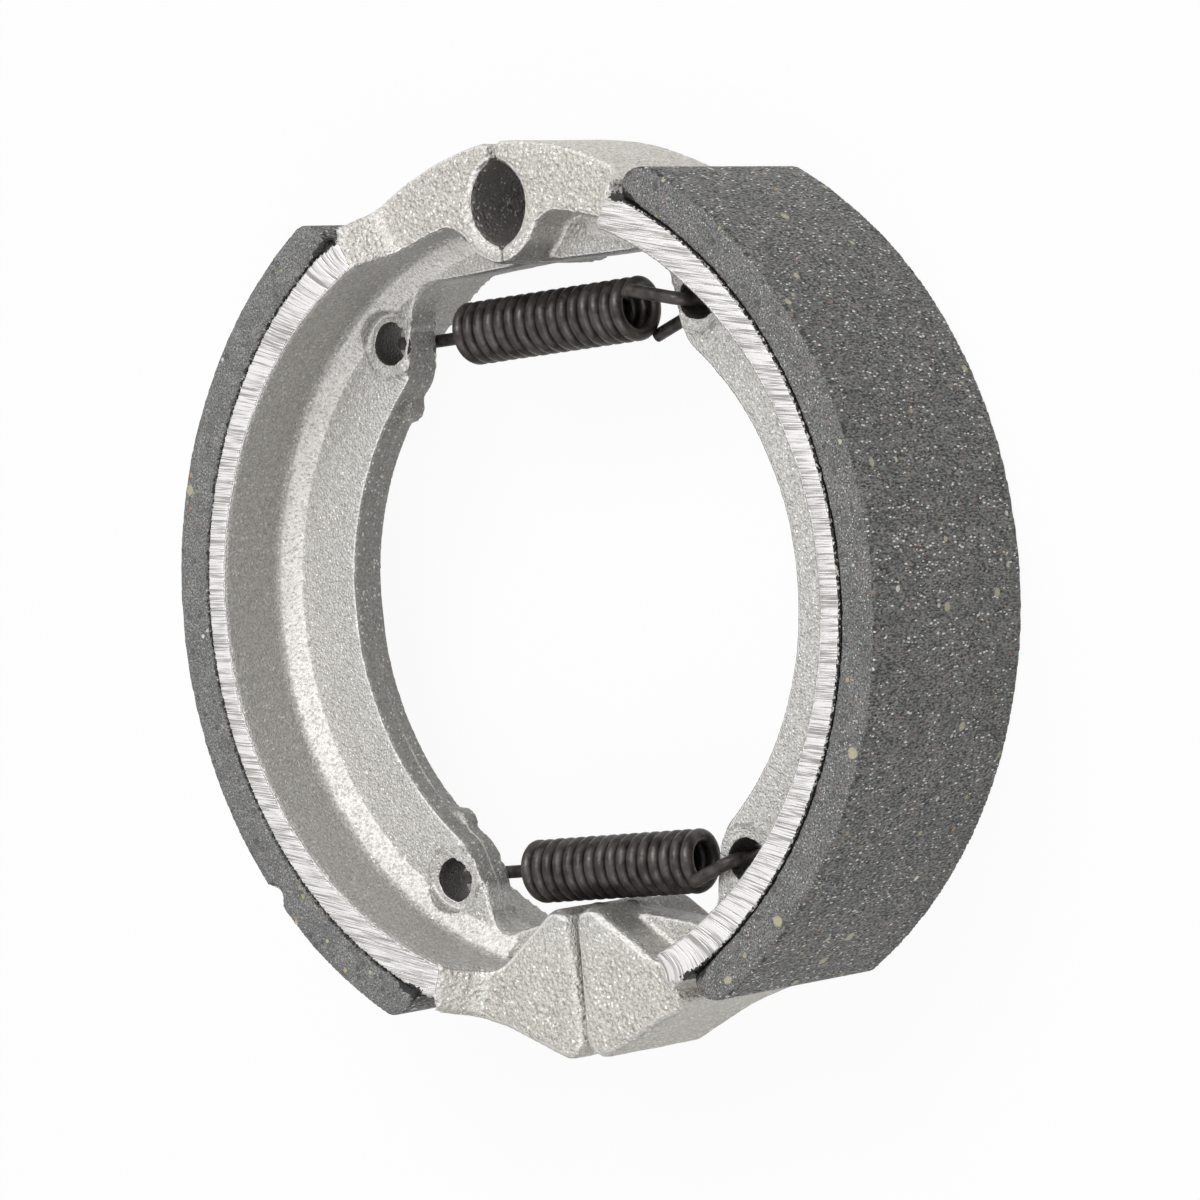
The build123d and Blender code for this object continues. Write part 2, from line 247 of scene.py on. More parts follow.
# Colours of the linings
BINDER_LIGHT = ((0.186, 0.195, 0.190, 1), (0.256, 0.250, 0.238, 1))
BINDER_DARK = ((0.006, 0.006, 0.007, 1), (0.056, 0.057, 0.056, 1))
CUT_FACE = ((0.088, 0.091, 0.090, 1), (0.295, 0.297, 0.293, 1))
CUT_STAIN = (0.080, 0.080, 0.084, 1)
BINDER_BROWN = (0.18, 0.135, 0.11, 1)
PIT_DARK = (0.030, 0.030, 0.031, 1)
BROKEN_DARK = (0.016, 0.015, 0.015, 1)
GLINT = (0.84, 0.84, 0.82, 1)
RUST_SPECK = (0.36, 0.19, 0.13, 1)
FLAKE = (0.47, 0.45, 0.30, 1)
FILLERS = (
    (0.0, (0.70, 0.69, 0.65, 1)),
    (0.35, (0.42, 0.34, 0.19, 1)),
    (0.55, (0.40, 0.20, 0.10, 1)),
    (0.75, (0.36, 0.38, 0.17, 1)),
    (1.0, (0.75, 0.74, 0.70, 1)),
)
CHIP_PALE = (0.82, 0.80, 0.76, 1)
GLUE_LINE = (0.010, 0.009, 0.008, 1)

# Colours of the springs
WIRE_DARK = (0.024, 0.022, 0.021, 1)
WIRE_RUBBED = (0.085, 0.078, 0.074, 1)
WIRE_FILM = (0.055, 0.042, 0.034, 1)

# Camera, as it stood for the photograph
CAMERA_RIGHT = Vector((0.7625, -0.105, -0.6384))
CAMERA_BACK = Vector((0.6416, -0.0046, 0.767))
CAMERA_DISTANCE = 614.7 * MM
CAMERA_ASIDE = 10.589 * MM
CAMERA_DROP = 0.105 * MM
CAMERA_LENS = 160.15
CAMERA_SENSOR = 36.0
CAMERA_NEAREST = 0.01

# Stage, with each lamp's place and side in metres and its power in watts
FLOOR_HALF = 6.0
FLOOR_DROP = 0.06 * MM
FLOOR_GREY = (0.80, 0.80, 0.80, 1)
FLOOR_GLOW = 0.94
SURROUND_LIGHT = 0.38
SURROUND_SEEN = 0.62
LAMPS = {
    "overhead": ((0.10, 0.60, 0.85), 0.6, 7.0),
    "front_fill": ((0.35, -0.55, 0.75), 0.5, 2.2),
}

# What sets one use of an effect apart from another
SEED_STEP = (13.7, 7.3, 19.1)


def add(tree, kind, values=None, **settings):
    """A node with its settings, and each named input either linked or set."""
    made = tree.nodes.new(kind)
    for name, value in settings.items():
        setattr(made, name, value)
    for key, value in (values or {}).items():
        if isinstance(value, bpy.types.NodeSocket):
            tree.links.new(value, made.inputs[key])
        else:
            made.inputs[key].default_value = value
    return made


def maths(tree, operation, *values):
    """One sum on numbers or sockets."""
    return add(tree, "ShaderNodeMath", dict(enumerate(values)), operation=operation).outputs[0]


def product(tree, *values):
    """Numbers or sockets multiplied together."""
    made = values[0]
    for value in values[1:]:
        made = maths(tree, "MULTIPLY", made, value)
    return made


def share_plus(tree, value, share, start):
    """A share of a value, which may be negative, plus a start."""
    return maths(tree, "MULTIPLY_ADD", value, share, start)


def inverse(tree, mask):
    """1 where a mask is 0, and 0 where it is 1."""
    return maths(tree, "SUBTRACT", 1.0, mask)


def vector_maths(tree, operation, first, second=None, scale=None):
    """One sum on vectors."""
    values = {0: first}
    if second is not None:
        values[1] = second
    if scale is not None:
        values["Scale"] = scale
    return add(tree, "ShaderNodeVectorMath", values, operation=operation).outputs[0]


def measured(tree, operation, first, second=(0.0, 0.0, 0.0)):
    """A length, distance or dot product of vectors."""
    return add(tree, "ShaderNodeVectorMath", {0: first, 1: second}, operation=operation).outputs["Value"]


def parts_of(tree, vector):
    """The three coordinates of a vector."""
    return add(tree, "ShaderNodeSeparateXYZ", {0: vector}).outputs


def between(tree, value, low, high):
    """0 at or below low, 1 at or above high, smooth between."""
    values = {"Value": value, "From Min": low, "From Max": high}
    return add(tree, "ShaderNodeMapRange", values, interpolation_type="SMOOTHSTEP").outputs[0]


def blend_colour(tree, factor, first, second, blend_type="MIX"):
    """One colour laid over another."""
    made = add(tree, "ShaderNodeMix", data_type="RGBA", blend_type=blend_type)
    for key, value in ((0, factor), (6, first), (7, second)):
        if isinstance(value, bpy.types.NodeSocket):
            tree.links.new(value, made.inputs[key])
        else:
            made.inputs[key].default_value = value
    return made.outputs[2]


def tinted(tree, colour, mask, share, shade):
    """A colour with a share of another laid over it where a mask is."""
    return blend_colour(tree, maths(tree, "MULTIPLY", mask, share), colour, shade)


def sockets(tree, direction, named):
    """Named inputs or outputs of a node group, with their kind and first value."""
    for name, (kind, value) in named.items():
        made = tree.interface.new_socket(name, in_out=direction, socket_type=kind)
        if value is not None:
            made.default_value = value


def effect(name, inputs, outputs):
    """An empty shader node group with its input and output nodes."""
    tree = bpy.data.node_groups.new(name, "ShaderNodeTree")
    sockets(tree, "INPUT", {"Place": ("NodeSocketVector", None), **inputs})
    sockets(tree, "OUTPUT", outputs)
    return tree, tree.nodes.new("NodeGroupInput").outputs, tree.nodes.new("NodeGroupOutput").inputs


def number(value):
    """A number socket with its first value."""
    return ("NodeSocketFloat", value)


def sized_place(tree, given):
    """The place counted in an effect's own size, and set apart by its seed."""
    sized = vector_maths(tree, "SCALE", given["Place"], scale=maths(tree, "DIVIDE", 1.0, given["Size"]))
    apart = vector_maths(tree, "SCALE", SEED_STEP, scale=given["Seed"])
    return vector_maths(tree, "ADD", sized, apart)


def mottle_effect():
    """Soft patches of a given size, from 0 to 1."""
    inputs = {"Size": number(4.0), "Seed": number(0.0)}
    tree, given, out = effect("mottle", inputs, {"Patch": number(0.0)})
    values = {"Vector": sized_place(tree, given), "Scale": 1.0, "Detail": 2.0}
    cloud = add(tree, "ShaderNodeTexNoise", values).outputs[0]
    tree.links.new(between(tree, cloud, 0.34, 0.66), out["Patch"])
    return tree


def speckle_effect():
    """Scattered chips: where they are, and a random shade for each."""
    inputs = {"Size": number(0.3), "Share": number(0.1), "Seed": number(0.0)}
    tree, given, out = effect("speckle", inputs, {"Chip": number(0.0), "Shade": number(0.0)})
    cells = add(tree, "ShaderNodeTexVoronoi", {"Vector": sized_place(tree, given), "Scale": 1.0})
    draw = add(tree, "ShaderNodeSeparateColor", {0: cells.outputs["Color"]}).outputs
    chosen = maths(tree, "LESS_THAN", draw[0], given["Share"])
    chip_radius = share_plus(tree, draw[2], 0.3, 0.25)
    near = between(tree, maths(tree, "SUBTRACT", chip_radius, cells.outputs["Distance"]), 0.0, 0.12)
    tree.links.new(maths(tree, "MULTIPLY", chosen, near), out["Chip"])
    tree.links.new(draw[1], out["Shade"])
    return tree


def pitting_effect():
    """Height of a pitted, grainy surface."""
    inputs = {"Size": number(0.4), "Seed": number(0.0)}
    tree, given, out = effect("pitting", inputs, {"Height": number(0.0)})
    place = sized_place(tree, given)
    grain = add(tree, "ShaderNodeTexNoise", {"Vector": place, "Scale": 1.0, "Detail": 2.0})
    pits = add(tree, "ShaderNodeTexVoronoi", {"Vector": place, "Scale": 0.7})
    deep = between(tree, pits.outputs["Distance"], 0.0, 0.6)
    tree.links.new(maths(tree, "MULTIPLY_ADD", deep, 0.6, grain.outputs[0]), out["Height"])
    return tree


def bond_effect():
    """Height over the bond's arc and distance past the lining's nearer end, both in millimetres."""
    tree, given, out = effect("bond", {}, {"Height": number(0.0), "Past end": number(0.0)})
    x, y = parts_of(tree, given["Place"])[:2]
    across = maths(tree, "ADD", maths(tree, "ABSOLUTE", x), ARC_SHIFT / MM)
    flat = add(tree, "ShaderNodeCombineXYZ", {0: across, 1: y}).outputs[0]
    radius = measured(tree, "LENGTH", flat)
    tree.links.new(maths(tree, "SUBTRACT", radius, RIM_OUTER / MM), out["Height"])
    angle = maths(tree, "ADD", maths(tree, "ARCTAN2", y, across), radians(SHOE_TURN))
    past_anchor = maths(tree, "SUBTRACT", angle, radians(LINING_ANCHOR_ANGLE))
    past_cam = maths(tree, "SUBTRACT", -radians(LINING_CAM_ANGLE), angle)
    past = maths(tree, "MAXIMUM", past_anchor, past_cam)
    tree.links.new(maths(tree, "MULTIPLY", past, RIM_OUTER / MM), out["Past end"])
    return tree


def material(name):
    """An empty material with its shader, and the place on the piece in millimetres."""
    made = bpy.data.materials.new(name)
    made.use_nodes = True
    tree = made.node_tree
    shader = tree.nodes["Principled BSDF"]
    place = add(tree, "ShaderNodeTexCoord").outputs["Object"]
    return made, tree, shader.inputs, vector_maths(tree, "SCALE", place, scale=1.0 / MM)


def use(tree, group, place, **values):
    """One of the shared effects, with its own values."""
    return add(tree, "ShaderNodeGroup", {"Place": place, **values}, node_tree=group).outputs


def bump(tree, height, depth):
    """A bump of a height field, its depth in metres."""
    return add(tree, "ShaderNodeBump", {"Height": height, "Distance": depth, "Strength": 1.0}).outputs[0]


def from_middle(tree, place):
    """Distance from the middle plane of the shoe's width, in millimetres."""
    return maths(tree, "ABSOLUTE", maths(tree, "SUBTRACT", parts_of(tree, place)[2], HALF_WIDTH))


def ground_streaks(tree, place):
    """Fine marks of the grinding belt, nearly across the pair and leaning more towards its ends."""
    x, y, z = parts_of(tree, place)
    share = maths(tree, "POWER", maths(tree, "DIVIDE", maths(tree, "ABSOLUTE", y), STRIP_REACH), 2.0)
    lean = share_plus(tree, share, MARK_LEAN_AT_ENDS, MARK_LEAN)
    rest = maths(tree, "SUBTRACT", STRIP_RADIUS**2, maths(tree, "MULTIPLY", y, y))
    half_chord = maths(tree, "SQRT", maths(tree, "MAXIMUM", rest, 0.0))
    strip = maths(tree, "MULTIPLY", maths(tree, "SIGN", x), half_chord)
    across = maths(tree, "MULTIPLY_ADD", maths(tree, "SUBTRACT", x, strip), lean, y)
    spot = add(tree, "ShaderNodeCombineXYZ", {
        0: maths(tree, "MULTIPLY", across, MARKS_PER_MM), 1: maths(tree, "MULTIPLY", x, MARK_STRETCH), 2: z})
    fine, broad = (add(tree, "ShaderNodeTexNoise", {
        "Vector": spot.outputs[0], "Scale": scale, "Detail": detail}).outputs[0]
        for scale, detail in ((1.0, 2.0), (0.31, 1.0)))
    both = maths(tree, "MULTIPLY_ADD", maths(tree, "SUBTRACT", broad, 0.5), 0.55, fine)
    return between(tree, both, 0.32, 0.62)


def rim_glue(tree, bond, reach, torn, spread):
    """Where dark glue covers a casting: a ragged line at the bond, wide and deep at the lining's ends."""
    end_limit = share_plus(tree, torn, RIM_GLUE_PAST_TORN, RIM_GLUE_PAST)
    before_limit = maths(tree, "LESS_THAN", bond["Past end"], end_limit)
    at_end = product(tree, between(tree, bond["Past end"], *RIM_GLUE_ENDS), before_limit)
    width = share_plus(tree, at_end, RIM_GLUE_AT_ENDS, share_plus(tree, torn, RIM_GLUE_TORN, RIM_GLUE_LINE))
    line = maths(tree, "GREATER_THAN", maths(tree, "ADD", bond["Height"], width), 0.0)
    depth = share_plus(tree, product(tree, at_end, spread), RIM_GLUE_DEPTH_AT_ENDS, RIM_GLUE_DEPTH)
    shallow = maths(tree, "GREATER_THAN", reach, maths(tree, "SUBTRACT", HALF_WIDTH, depth))
    return product(tree, line, before_limit, shallow)


def spring_seats(tree, x, y, up, torn, spread):
    """Where the inside of a spring hole is, which is painted in shade, and the broken line of painted shadow
    at the step of its seat.
    """
    folded = add(tree, "ShaderNodeCombineXYZ", {0: maths(tree, "ABSOLUTE", x), 1: y}).outputs[0]
    to_holes = [measured(tree, "DISTANCE", folded, (hole.x / MM, hole.y / MM, 0.0)) for hole in SPRING_HOLES]
    to_hole = maths(tree, "MINIMUM", *to_holes)
    hole_shade = maths(tree, "LESS_THAN", to_hole, (HOLE_RADIUS + HOLE_OPENED) / MM + HOLE_MARGIN)
    step_radius = (SEAT_RADIUS + 0.4 * BOSS_STEP) / MM
    off_step = maths(tree, "ABSOLUTE", maths(tree, "SUBTRACT", to_hole, step_radius))
    step = maths(tree, "LESS_THAN", off_step, share_plus(tree, torn, SEAT_SHADOW_TORN, SEAT_SHADOW_LINE))
    step = product(tree, step, share_plus(tree, spread, 0.8, 0.2),
                   maths(tree, "GREATER_THAN", up, SEAT_FACE))
    return product(tree, hole_shade, maths(tree, "LESS_THAN", up, HOLE_FACE)), step


def inward_faces(tree, y, up, facing, bond):
    """Where a casting faces the drum's axis, with all of the web's inner edge and its nubs."""
    inner = inverse(tree, between(tree, facing, *INWARD_FACE))
    edge = product(tree, maths(tree, "LESS_THAN", bond["Height"], WEB_EDGE_HEIGHT),
                   maths(tree, "LESS_THAN", up, WEB_EDGE_FACE))
    nub = maths(tree, "LESS_THAN", bond["Height"], NUB_HEIGHT)
    from_ends = maths(tree, "LESS_THAN", maths(tree, "ABSOLUTE", y), WEB_EDGE_END)
    return maths(tree, "MAXIMUM", inner, product(tree, maths(tree, "MAXIMUM", edge, nub), from_ends))


def casting_masks(tree, place, effects):
    """Where a casting is ground, glued, turned inwards, in a bore or hole, on a ramp or at its ends."""
    normal = add(tree, "ShaderNodeTexCoord").outputs["Normal"]
    side_on, up = parts_of(tree, normal)[1:]
    up = maths(tree, "ABSOLUTE", up)
    x, y, z = parts_of(tree, place)
    flat = vector_maths(tree, "MULTIPLY", place, (1.0, 1.0, 0.0))
    facing = measured(tree, "DOT_PRODUCT", vector_maths(tree, "NORMALIZE", flat), normal)
    reach = from_middle(tree, place)
    bond = use(tree, effects["bond"], place)
    torn = use(tree, effects["mottle"], place, Size=0.45, Seed=8.0)["Patch"]
    spread = use(tree, effects["mottle"], place, Size=2.4, Seed=10.0)["Patch"]
    ragged = use(tree, effects["mottle"], place, Size=0.7, Seed=3.0)["Patch"]
    ground_limit = share_plus(tree, ragged, -GROUND_RAGGED, HALF_WIDTH - GROUND_DEPTH)
    level = maths(tree, "GREATER_THAN", reach, ground_limit)
    in_bore = maths(tree, "LESS_THAN", measured(tree, "DISTANCE", flat, PIN_AXIS), PIN_BORE)
    hole_shade, seat_step_shadow = spring_seats(tree, x, y, up, torn, spread)
    tilted = product(tree, between(tree, up, *TILTED_FROM), inverse(tree, between(tree, up, *TILTED_TO)))
    return {
        "ground": product(tree, level, between(tree, up, *LEVEL_FACE)),
        "glue": rim_glue(tree, bond, reach, torn, spread),
        "inner": inward_faces(tree, y, up, facing, bond),
        # Side walls of the pin bore, which get painted shade
        "bore": product(tree, in_bore, maths(tree, "LESS_THAN", up, BORE_FACE)),
        "hole": hole_shade,
        "step": seat_step_shadow,
        "ramp": product(tree, tilted, maths(tree, "LESS_THAN", facing, RAMP_INWARD)),
        "tilted": tilted,
        # Faces that point down, which get painted shade at the end blocks
        "under": between(tree, maths(tree, "MULTIPLY", side_on, -1.0), *UNDER_FACE),
        "ends": between(tree, maths(tree, "ABSOLUTE", y), *END_BLOCKS),
        "low": between(tree, maths(tree, "MULTIPLY", y, -1.0), 0.0, PARTING_PALE_DROP),
        "radius": measured(tree, "LENGTH", flat),
        "off_parting": maths(tree, "ABSOLUTE", maths(tree, "SUBTRACT", z, WEB_MIDDLE / MM)),
    }


def casting_colour(tree, place, effects, at, grain, painted_glint, streak):
    """Colour of the castings, laid on from the skin to the ground edges and the glue."""
    patch = use(tree, effects["mottle"], place, Size=7.0, Seed=1.0)["Patch"]
    dark = use(tree, effects["speckle"], place, Size=0.50, Share=0.14, Seed=5.0)["Chip"]
    colour = blend_colour(tree, grain, CAST_HOLLOW, CAST_CREST)
    colour = tinted(tree, colour, patch, 0.12, CAST_PALE)
    colour = blend_colour(tree, maths(tree, "MULTIPLY", at["ends"], 0.6), colour, CAST_WARM, "MULTIPLY")
    # Painted highlight on the tilted faces of the end blocks
    colour = tinted(tree, colour, product(tree, at["tilted"], at["ends"]), 0.4, CAST_END_RIM_HIGHLIGHT)
    # Painted highlight: the tilted foot ramp between rim and web is painted lighter
    colour = tinted(tree, colour, at["ramp"], 0.70, CAST_RAMP_HIGHLIGHT)
    colour = tinted(tree, colour, dark, 0.3, CAST_DARK_GRAIN)
    # Painted shade: the undersides of the end blocks are painted darker
    colour = tinted(tree, colour, product(tree, at["under"], at["ends"]), 0.30, CAST_UNDERSIDE_SHADE)
    # Inward walls painted darker, partly duller finish and partly painted shade, and darker still as painted
    # shade towards the web's inner edge
    shaded_wall = blend_colour(tree, grain, WALL_HOLLOW, WALL_CREST)
    deep = blend_colour(tree, between(tree, at["radius"], *WALL_SHADE_RADII), WALL_SHADE, WHITE)
    colour = blend_colour(tree, at["inner"], colour, blend_colour(tree, 1.0, shaded_wall, deep, "MULTIPLY"))
    # Painted shade: the pin bore's side walls are painted dark grey
    colour = blend_colour(tree, at["bore"], colour, BORE_SHADE)
    fewer = share_plus(tree, maths(tree, "MAXIMUM", at["inner"], at["bore"]), -0.40, 0.90)
    # Painted glints, fewer on the walls that face inwards and in the bore
    colour = tinted(tree, colour, painted_glint, fewer, CAST_PAINTED_GLINT)
    parting = inverse(tree, between(tree, at["off_parting"], *PARTING_PALE_HALF))
    parting = product(tree, parting, at["inner"], maths(tree, "MULTIPLY", patch, 0.8), at["low"])
    colour = blend_colour(tree, parting, colour, PARTING_PALE)
    # Painted shadow line at the step of each spring seat
    colour = tinted(tree, colour, at["step"], 0.55, SEAT_STEP_SHADOW)
    # Painted shade filling the inside of the spring holes
    colour = blend_colour(tree, at["hole"], colour, HOLE_SHADE)
    colour = blend_colour(tree, at["ground"], colour, blend_colour(tree, streak, BELT_MARK, BELT_BRIGHT))
    return blend_colour(tree, at["glue"], colour, GLUE_ON_CASTING)


def casting_height(tree, place, effects, at, streak):
    """Fine relief of the castings: small pits, pebbly end blocks and belt marks."""
    small = use(tree, effects["pitting"], place, Size=0.26, Seed=6.0)["Height"]
    pebbly = use(tree, effects["pitting"], place, Size=0.46, Seed=9.0)["Height"]
    pits = maths(tree, "MULTIPLY", small, share_plus(tree, inverse(tree, at["ends"]), 0.40, 0.25))
    pits = maths(tree, "MULTIPLY_ADD", pebbly, maths(tree, "MULTIPLY", at["ends"], 1.05), pits)
    unground = maths(tree, "MULTIPLY_ADD", at["inner"], -0.4, inverse(tree, at["ground"]))
    height = maths(tree, "MULTIPLY", pits, unground)
    return maths(tree, "MULTIPLY_ADD", maths(tree, "MULTIPLY", streak, at["ground"]), 0.15, height)


def casting_material(effects):
    """Shot-blasted aluminium, darker on walls that face inwards, partly for a duller finish and partly as
    painted shade, and ground bright on the rims' edges.
    """
    made, tree, shader, place = material("blasted_casting")
    at = casting_masks(tree, place, effects)
    fine = use(tree, effects["mottle"], place, Size=0.28, Seed=2.0)["Patch"]
    coarse = use(tree, effects["mottle"], place, Size=0.60, Seed=7.0)["Patch"]
    grain = maths(tree, "MULTIPLY_ADD", fine, 0.70, maths(tree, "MULTIPLY", coarse, 0.30))
    # Specks of painted glint, also made less rough below
    painted_glint = use(tree, effects["speckle"], place, Size=0.40, Share=0.22, Seed=4.0)["Chip"]
    streak = ground_streaks(tree, place)
    colour = casting_colour(tree, place, effects, at, grain, painted_glint, streak)
    tree.links.new(colour, shader["Base Color"])
    rough = share_plus(tree, grain, -0.16, 0.56)
    rough = maths(tree, "MULTIPLY_ADD", painted_glint, -0.2, rough)
    rough = maths(tree, "MULTIPLY_ADD", at["ground"], -0.12, rough)
    tree.links.new(rough, shader["Roughness"])
    metal = maths(tree, "MULTIPLY", share_plus(tree, at["ground"], 0.25, 0.25), inverse(tree, at["glue"]))
    tree.links.new(metal, shader["Metallic"])
    height = casting_height(tree, place, effects, at, streak)
    tree.links.new(bump(tree, height, CAST_RELIEF), shader["Normal"])
    return made


def cut_face(tree, place, effects, fine):
    """Colour of a lining's ground edge faces, with stains."""
    stain = use(tree, effects["mottle"], place, Size=2.2, Seed=27.0)["Patch"]
    return tinted(tree, blend_colour(tree, fine, *CUT_FACE), stain, 0.40, CUT_STAIN)


def fillers(tree, place, drawn, effects, colour, cut, corner):
    """The lining's colour with its pits, broken corner, glints, specks, flakes and coloured fillers."""
    pits = use(tree, effects["speckle"], place, Size=0.9, Share=0.16, Seed=17.0)["Chip"]
    colour = tinted(tree, colour, pits, 0.5, PIT_DARK)
    broken = use(tree, effects["speckle"], place, Size=1.1, Share=0.45, Seed=26.0)["Chip"]
    colour = tinted(tree, colour, product(tree, broken, corner), 0.75, BROKEN_DARK)
    glints = use(tree, effects["speckle"], drawn, Size=0.25, Share=0.15, Seed=14.0)["Chip"]
    colour = tinted(tree, colour, glints, share_plus(tree, cut, -0.45, 0.90), GLINT)
    rust = use(tree, effects["speckle"], drawn, Size=0.36, Share=0.035, Seed=24.0)["Chip"]
    colour = tinted(tree, colour, rust, 0.6, RUST_SPECK)
    flakes = use(tree, effects["speckle"], place, Size=1.6, Share=0.018, Seed=25.0)["Chip"]
    colour = tinted(tree, colour, flakes, 0.85, FLAKE)
    mixed = use(tree, effects["speckle"], place, Size=0.80, Share=0.014, Seed=15.0)
    ramp = add(tree, "ShaderNodeValToRGB", {0: mixed["Shade"]})
    for spot, shade in FILLERS[1:-1]:
        ramp.color_ramp.elements.new(spot).color = shade
    ramp.color_ramp.elements[0].color = FILLERS[0][1]
    ramp.color_ramp.elements[-1].color = FILLERS[-1][1]
    return blend_colour(tree, mixed["Chip"], colour, ramp.outputs[0])


def lining_glue(tree, place, effects, reach):
    """Where dark glue shows on a lining: a thin torn line, widening towards the ends."""
    bond = use(tree, effects["bond"], place)
    torn = use(tree, effects["mottle"], place, Size=0.55, Seed=18.0)["Patch"]
    near_end = between(tree, bond["Past end"], *LINING_GLUE_ENDS)
    width = maths(tree, "ADD", near_end, share_plus(tree, torn, LINING_GLUE_TORN, LINING_GLUE_LINE))
    line = maths(tree, "LESS_THAN", bond["Height"], width)
    return product(tree, line, maths(tree, "GREATER_THAN", reach, HALF_WIDTH - LINING_GLUE_DEPTH))


def lining_material(effects):
    """Moulded friction composite, drawn out across its width, with its fillers and the glue at the bond."""
    made, tree, shader, place = material("friction_composite")
    normal = add(tree, "ShaderNodeTexCoord").outputs["Normal"]
    up = maths(tree, "ABSOLUTE", parts_of(tree, normal)[2])
    edge_face = between(tree, up, *CUT_FACE_LEVEL)
    # Painted light and shade: the left lining's ground front faces get their full lighter colour, the right
    # lining's only part of it
    left = between(tree, parts_of(tree, place)[0], SIDE_LIGHT_CHANGE, -SIDE_LIGHT_CHANGE)
    cut = maths(tree, "MULTIPLY", edge_face, share_plus(tree, left, 0.45, 0.55))
    reach = from_middle(tree, place)
    corner = between(tree, reach, HALF_WIDTH - CORNER_START, HALF_WIDTH - CORNER_FULL)
    corner = product(tree, corner, inverse(tree, between(tree, up, *CORNER_LEVEL)))
    drawn = vector_maths(tree, "MULTIPLY", place, DRAWN)
    wide = use(tree, effects["mottle"], place, Size=3.4, Seed=11.0)["Patch"]
    fine = use(tree, effects["mottle"], drawn, Size=0.21, Seed=12.0)["Patch"]
    cloudy = use(tree, effects["mottle"], drawn, Size=1.0, Seed=19.0)["Patch"]
    light = blend_colour(tree, wide, *BINDER_LIGHT)
    dark = blend_colour(tree, cloudy, *BINDER_DARK)
    colour = blend_colour(tree, fine, dark, light)
    colour = blend_colour(tree, cut, colour, cut_face(tree, place, effects, fine))
    brown = use(tree, effects["mottle"], place, Size=1.5, Seed=13.0)["Patch"]
    colour = tinted(tree, colour, brown, 0.12, BINDER_BROWN)
    colour = fillers(tree, place, drawn, effects, colour, cut, corner)
    to_chip = measured(tree, "DISTANCE", place, tuple(CHIP_CENTRE / MM))
    colour = blend_colour(tree, maths(tree, "LESS_THAN", to_chip, CHIP_PALE_RADIUS), colour, CHIP_PALE)
    colour = blend_colour(tree, lining_glue(tree, place, effects, reach), colour, GLUE_LINE)
    tree.links.new(colour, shader["Base Color"])
    tree.links.new(share_plus(tree, fine, -0.22, 0.72), shader["Roughness"])
    grain = use(tree, effects["pitting"], drawn, Size=0.32, Seed=16.0)["Height"]
    grain = maths(tree, "MULTIPLY", grain, share_plus(tree, edge_face, -0.55, 1.0))
    tree.links.new(bump(tree, grain, LINING_RELIEF), shader["Normal"])
    return made


def spring_material(effects):
    """Oiled dark spring wire, rubbed lighter in patches."""
    made, tree, shader, place = material("oiled_wire")
    rub = use(tree, effects["mottle"], place, Size=1.6, Seed=21.0)["Patch"]
    film = use(tree, effects["mottle"], place, Size=0.5, Seed=22.0)["Patch"]
    colour = tinted(tree, blend_colour(tree, rub, WIRE_DARK, WIRE_RUBBED), film, 0.4, WIRE_FILM)
    tree.links.new(colour, shader["Base Color"])
    tree.links.new(share_plus(tree, film, 0.14, 0.34), shader["Roughness"])
    shader["Metallic"].default_value = 0.55
    pits = use(tree, effects["pitting"], place, Size=0.3, Seed=23.0)["Height"]
    tree.links.new(bump(tree, pits, WIRE_RELIEF), shader["Normal"])
    return made


def finished(obj, name, finish):
    """The evaluated shape of an object as a plain mesh piece of its own, and the object gone."""
    graph = bpy.context.evaluated_depsgraph_get()
    mesh = bpy.data.meshes.new_from_object(obj.evaluated_get(graph), depsgraph=graph)
    bpy.data.objects.remove(obj)
    mesh.name = name
    mesh.materials.clear()
    mesh.materials.append(finish)
    mesh.shade_smooth()
    piece = bpy.data.objects.new(name, mesh)
    bpy.context.scene.collection.objects.link(piece)
    return piece


def geometry_group(name, inputs):
    """An empty geometry node group with its input and output nodes."""
    tree = bpy.data.node_groups.new(name, "GeometryNodeTree")
    sockets(tree, "INPUT", {"Geometry": ("NodeSocketGeometry", None), **inputs})
    sockets(tree, "OUTPUT", {"Geometry": ("NodeSocketGeometry", None)})
    return tree, tree.nodes.new("NodeGroupInput").outputs, tree.nodes.new("NodeGroupOutput").inputs


def pushed_and_dressed(tree, given, out, shape, push):
    """Ends a tree: its shape pushed along the normals, made real and given its finish."""
    normal = tree.nodes.new("GeometryNodeInputNormal").outputs[0]
    offset = vector_maths(tree, "SCALE", normal, scale=push)
    moved = add(tree, "GeometryNodeSetPosition", {"Geometry": shape, "Offset": offset})
    real = add(tree, "GeometryNodeRealizeInstances", {"Geometry": moved.outputs[0]})
    values = {"Geometry": real.outputs[0], "Material": given["Finish"]}
    dressed = add(tree, "GeometryNodeSetMaterial", values)
    tree.links.new(dressed.outputs[0], out["Geometry"])


